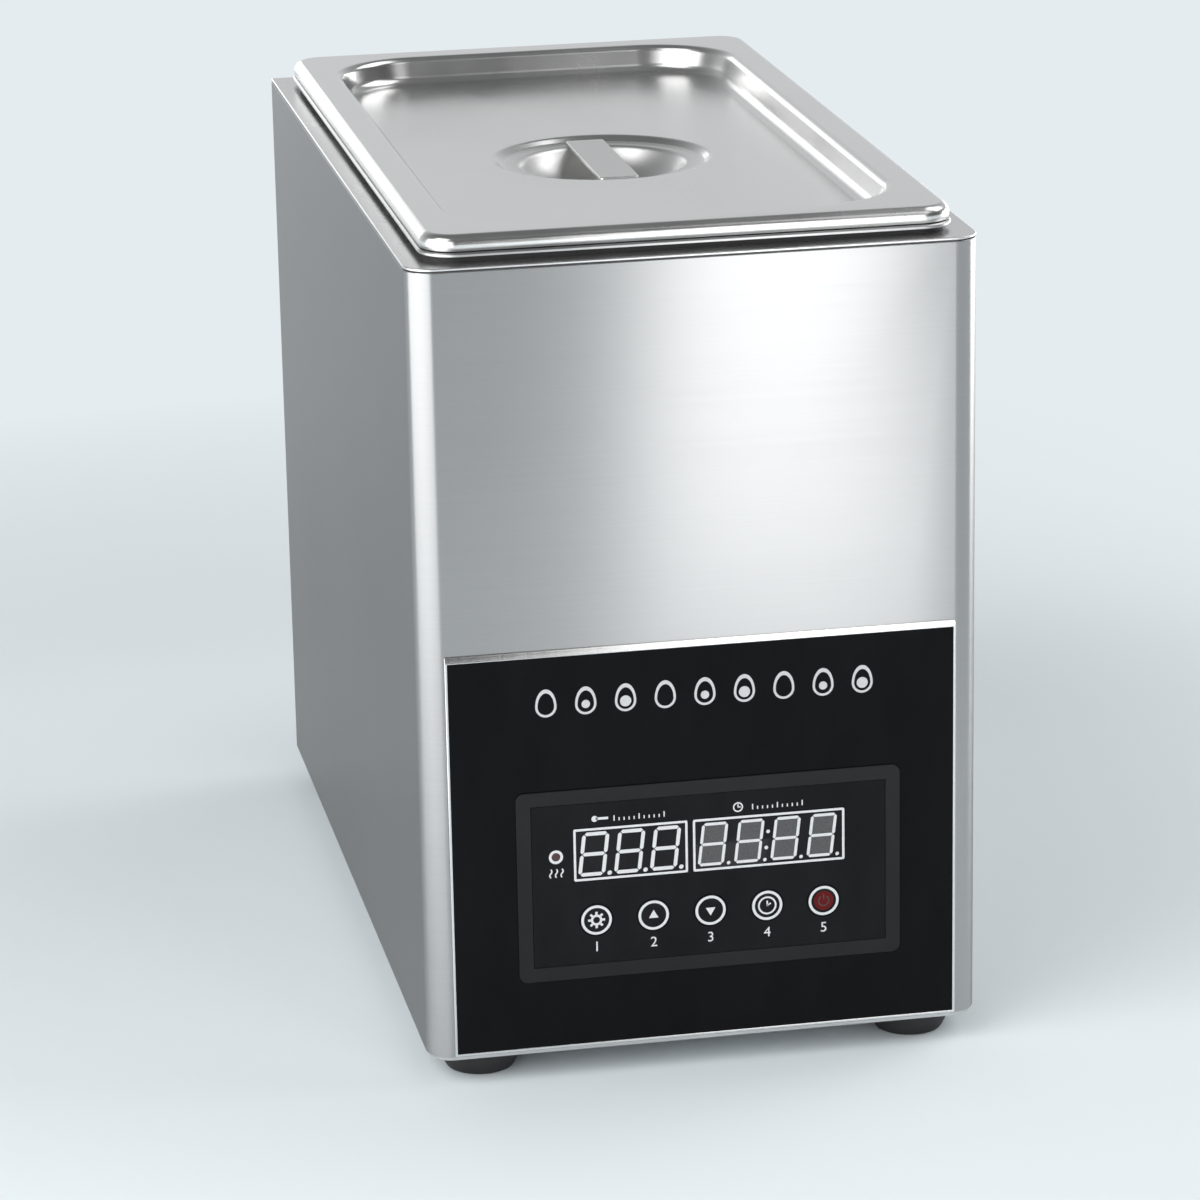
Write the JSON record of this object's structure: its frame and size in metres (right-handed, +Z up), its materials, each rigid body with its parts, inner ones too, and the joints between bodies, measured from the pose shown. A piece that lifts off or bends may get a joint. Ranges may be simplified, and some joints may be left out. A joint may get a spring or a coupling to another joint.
{
  "type": "commercial egg boiler",
  "caption": "Tall stainless countertop egg boiler: recessed lift-off lid over a water tank with egg basket, black control panel with displays and keys, rear drain cock.",
  "frame": {"origin": "on the floor, under the middle of the whole appliance's outline, drain cock included", "axes": "+Z up, +Y from the control panel to the back with the drain cock, +X to the right of someone facing the control panel"},
  "size_m": [0.19, 0.41, 0.29],
  "materials": {
    "casing_steel": "fine brushed stainless sheet",
    "deck_steel": "bright stainless sheet",
    "lid_steel": "satin pressed stainless",
    "tank_steel": "drawn stainless",
    "inner_steel": "plain stainless",
    "trim_steel": "bright folded edge",
    "zinc": "zinc plated",
    "black_panel": "glossy black",
    "black_moulding": "black moulding",
    "black_overlay": "printed film",
    "display_black": "dark window",
    "lamp": "red lens",
    "key_film": "black film",
    "key_power": "red film",
    "rubber": "black rubber",
    "seal_rubber": "black silicone",
    "gasket_rubber": "red silicone",
    "brass_plated": "nickel plated brass",
    "plain_brass": "turned brass",
    "circuit": "green laminate",
    "nylon_black": "black nylon",
    "nylon_white": "white nylon",
    "ceramic": "glazed ceramic",
    "iron_core": "varnished laminations",
    "grip": "red dipped grip"
  },
  "bodies": {
    "appliance": {"outer_casing": "casing_steel", "back_panel": "casing_steel", "top_deck": "deck_steel", "base_tray": "inner_steel", "feet": "rubber", "foot_screws": "zinc", "foot_nuts": "zinc", "back_panel_screws": "zinc", "water_tank": "tank_steel", "tank_seal": "seal_rubber", "element_guard": "inner_steel", "heating_element": "inner_steel", "element_bushes": "plain_brass", "tank_gaskets": "gasket_rubber", "element_nuts": "plain_brass", "element_terminals": "ceramic", "temperature_probe": "inner_steel", "probe_nuts": "plain_brass", "overheat_cutout": "black_moulding", "drain_outlet": "plain_brass", "drain_nut": "plain_brass", "drain_elbow": "plain_brass", "drain_pipe": "inner_steel", "pipe_grommet": "seal_rubber", "cock_body": "brass_plated", "control_panel": "black_panel", "panel_trim": "trim_steel", "controller_housing": "black_moulding", "keypad_overlay": "black_overlay", "temperature_display": "display_black", "timer_display": "display_black", "heating_lamp": "lamp", "controller_board": "circuit", "controller_screws": "zinc", "key_switches": "black_moulding", "controller_cover": "black_moulding", "controller_clamps": "zinc", "power_board": "circuit", "board_standoffs": "nylon_white", "heater_relay": "black_moulding", "power_transformer": "iron_core", "terminal_block": "nylon_black", "cable_gland": "nylon_black", "gland_nut": "nylon_black", "gland_locknut": "nylon_black"},
    "lid": {"lid_cover": "lid_steel", "lid_strap": "lid_steel"},
    "basket": {"egg_basket": "inner_steel", "basket_handles": "inner_steel"},
    "setting_button": {"setting_key": "key_film"},
    "raise_button": {"raise_key": "key_film"},
    "lower_button": {"lower_key": "key_film"},
    "timer_button": {"timer_key": "key_film"},
    "power_button": {"power_key": "key_power"},
    "drain_handle": {"cock_plug": "brass_plated", "keeper_washer": "zinc", "keeper_nut": "zinc", "cock_lever": "zinc", "lever_grip": "grip", "lever_nut": "zinc"}
  },
  "joints": [
    {"name": "basket_lift", "type": "slide", "parent": "appliance", "child": "basket", "axis": [0, 0, 1], "range_m": [0, 0.2]},
    {"name": "lid_lift", "type": "slide", "parent": "basket", "child": "lid", "axis": [0, 0, 1], "range_m": [0, 0.12]},
    {"name": "setting_press", "type": "slide", "parent": "appliance", "child": "setting_button", "axis": [0, 1, 0], "range_m": [0, 0.0005], "stiffness_N_per_m": 800, "springref_m": -0.0003},
    {"name": "raise_press", "type": "slide", "parent": "appliance", "child": "raise_button", "axis": [0, 1, 0], "range_m": [0, 0.0005], "stiffness_N_per_m": 800, "springref_m": -0.0003},
    {"name": "lower_press", "type": "slide", "parent": "appliance", "child": "lower_button", "axis": [0, 1, 0], "range_m": [0, 0.0005], "stiffness_N_per_m": 800, "springref_m": -0.0003},
    {"name": "timer_press", "type": "slide", "parent": "appliance", "child": "timer_button", "axis": [0, 1, 0], "range_m": [0, 0.0005], "stiffness_N_per_m": 800, "springref_m": -0.0003},
    {"name": "power_press", "type": "slide", "parent": "appliance", "child": "power_button", "axis": [0, 1, 0], "range_m": [0, 0.0005], "stiffness_N_per_m": 800, "springref_m": -0.0003},
    {"name": "drain_turn", "type": "hinge", "parent": "appliance", "child": "drain_handle", "pos_m": [0, 0.173, 0.1004], "axis": [0, 0, 1], "range_deg": [0, 90]}
  ]
}
